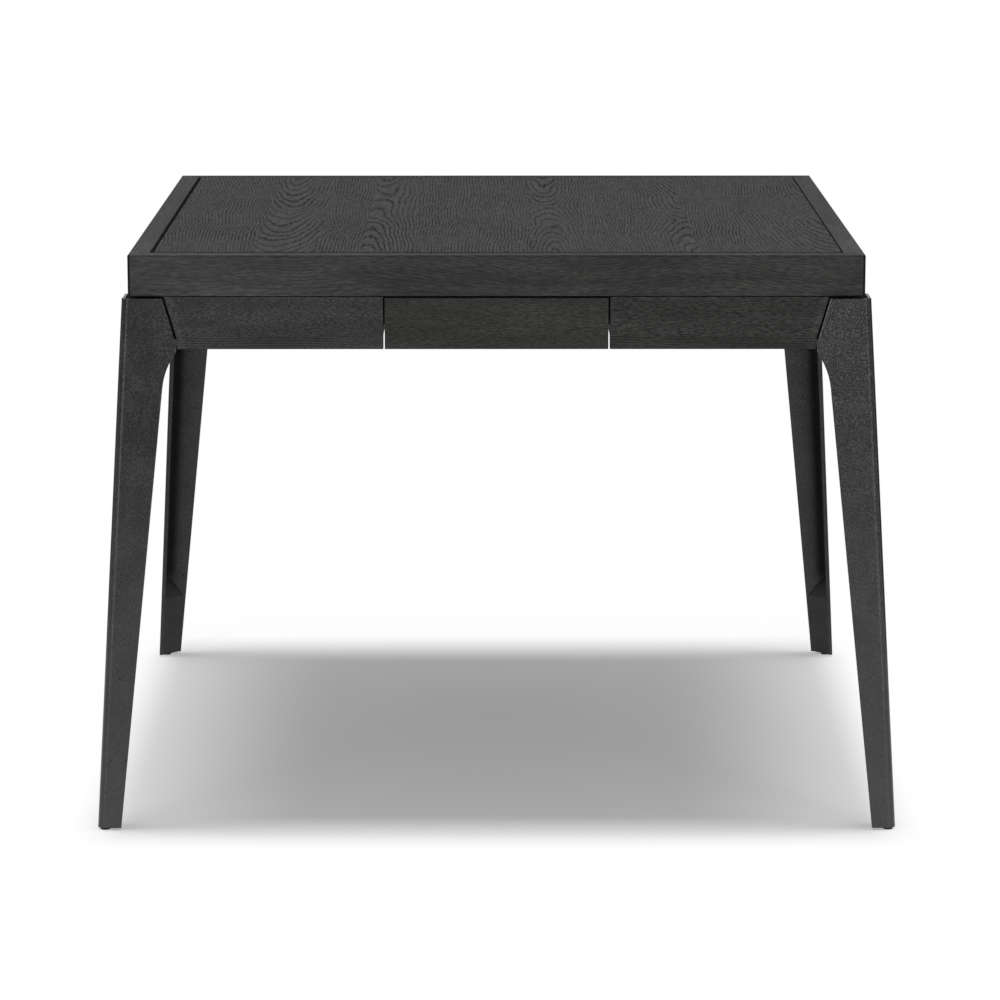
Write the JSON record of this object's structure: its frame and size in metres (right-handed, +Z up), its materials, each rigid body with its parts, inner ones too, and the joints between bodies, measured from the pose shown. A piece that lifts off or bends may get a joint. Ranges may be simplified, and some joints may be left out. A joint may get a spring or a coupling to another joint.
{
  "type": "mahjong table",
  "caption": "Square game table with a framed lift-out top over a felt playing well, shallow ball-slide drawers in its apron and splayed L-section metal legs.",
  "frame": {"origin": "on the floor under the centre of the table", "axes": "+Z up, front of the table (the pictured side) towards -Y, +X to the right of a person facing the front"},
  "size_m": [1.0596, 1.0596, 0.762],
  "materials": {
    "black_oak": "black-stained open-grain oak veneer, matt",
    "leg_metal": "black textured coat on a casting",
    "stained_plywood": "black-stained plywood, matt",
    "felt": "dark wool felt",
    "glide_plastic": "matt",
    "slide_steel": "zinc plated",
    "black_steel": "black oxide",
    "insert_brass": "plain",
    "dowel_beech": "plain beech"
  },
  "bodies": {
    "table_frame": {"front_rail": "black_oak", "right_rail": "black_oak", "back_rail": "black_oak", "left_rail": "black_oak", "playing_board": "stained_plywood", "playing_felt": "felt", "back_right_leg": "leg_metal", "back_left_leg": "leg_metal", "front_left_leg": "leg_metal", "front_right_leg": "leg_metal", "foot_glides": "glide_plastic", "front_apron_left": "black_oak", "front_apron_right": "black_oak", "right_apron_front": "black_oak", "right_apron_back": "black_oak", "back_apron_right": "black_oak", "back_apron_left": "black_oak", "left_apron_back": "black_oak", "left_apron_front": "black_oak", "left_long_bearer": "stained_plywood", "left_front_bearer": "stained_plywood", "left_back_bearer": "stained_plywood", "right_long_bearer": "stained_plywood", "right_front_bearer": "stained_plywood", "right_back_bearer": "stained_plywood", "slide_channels": "slide_steel", "leg_bolts": "black_steel", "leg_inserts": "insert_brass", "apron_dowels": "dowel_beech", "bearer_screws": "black_steel", "slide_screws": "slide_steel"},
    "cover_panel": {"top_panel": "black_oak"},
    "front_drawer": {"front_drawer_front": "black_oak", "front_drawer_left_wall": "stained_plywood", "front_drawer_right_wall": "stained_plywood", "front_drawer_back": "stained_plywood", "front_drawer_floor": "stained_plywood", "front_drawer_runners": "slide_steel"},
    "front_cages": {"front_ball_cages": "slide_steel"},
    "right_drawer": {"right_drawer_front": "black_oak", "right_drawer_left_wall": "stained_plywood", "right_drawer_right_wall": "stained_plywood", "right_drawer_back": "stained_plywood", "right_drawer_floor": "stained_plywood", "right_drawer_runners": "slide_steel"},
    "right_cages": {"right_ball_cages": "slide_steel"},
    "back_drawer": {"back_drawer_front": "black_oak", "back_drawer_left_wall": "stained_plywood", "back_drawer_right_wall": "stained_plywood", "back_drawer_back": "stained_plywood", "back_drawer_floor": "stained_plywood", "back_drawer_runners": "slide_steel"},
    "back_cages": {"back_ball_cages": "slide_steel"},
    "left_drawer": {"left_drawer_front": "black_oak", "left_drawer_left_wall": "stained_plywood", "left_drawer_right_wall": "stained_plywood", "left_drawer_back": "stained_plywood", "left_drawer_floor": "stained_plywood", "left_drawer_runners": "slide_steel"},
    "left_cages": {"left_ball_cages": "slide_steel"}
  },
  "joints": [
    {"name": "panel_lift", "type": "slide", "parent": "table_frame", "child": "cover_panel", "axis": [0, 0, 1], "range_m": [0, 0.15]},
    {"name": "front_drawer_slide", "type": "slide", "parent": "table_frame", "child": "front_drawer", "axis": [0, -1, 0], "range_m": [0, 0.18]},
    {"name": "front_cage_roll", "type": "slide", "parent": "table_frame", "child": "front_cages", "axis": [0, -1, 0], "range_m": [0, 0.09]},
    {"name": "right_drawer_slide", "type": "slide", "parent": "table_frame", "child": "right_drawer", "axis": [1, 0, 0], "range_m": [0, 0.18]},
    {"name": "right_cage_roll", "type": "slide", "parent": "table_frame", "child": "right_cages", "axis": [1, 0, 0], "range_m": [0, 0.09]},
    {"name": "back_drawer_slide", "type": "slide", "parent": "table_frame", "child": "back_drawer", "axis": [0, 1, 0], "range_m": [0, 0.18]},
    {"name": "back_cage_roll", "type": "slide", "parent": "table_frame", "child": "back_cages", "axis": [0, 1, 0], "range_m": [0, 0.09]},
    {"name": "left_drawer_slide", "type": "slide", "parent": "table_frame", "child": "left_drawer", "axis": [-1, 0, 0], "range_m": [0, 0.18]},
    {"name": "left_cage_roll", "type": "slide", "parent": "table_frame", "child": "left_cages", "axis": [-1, 0, 0], "range_m": [0, 0.09]}
  ],
  "couplings": [
    {"joint": "front_cage_roll", "follows": "front_drawer_slide", "ratio": 0.5},
    {"joint": "right_cage_roll", "follows": "right_drawer_slide", "ratio": 0.5},
    {"joint": "back_cage_roll", "follows": "back_drawer_slide", "ratio": 0.5},
    {"joint": "left_cage_roll", "follows": "left_drawer_slide", "ratio": 0.5}
  ]
}
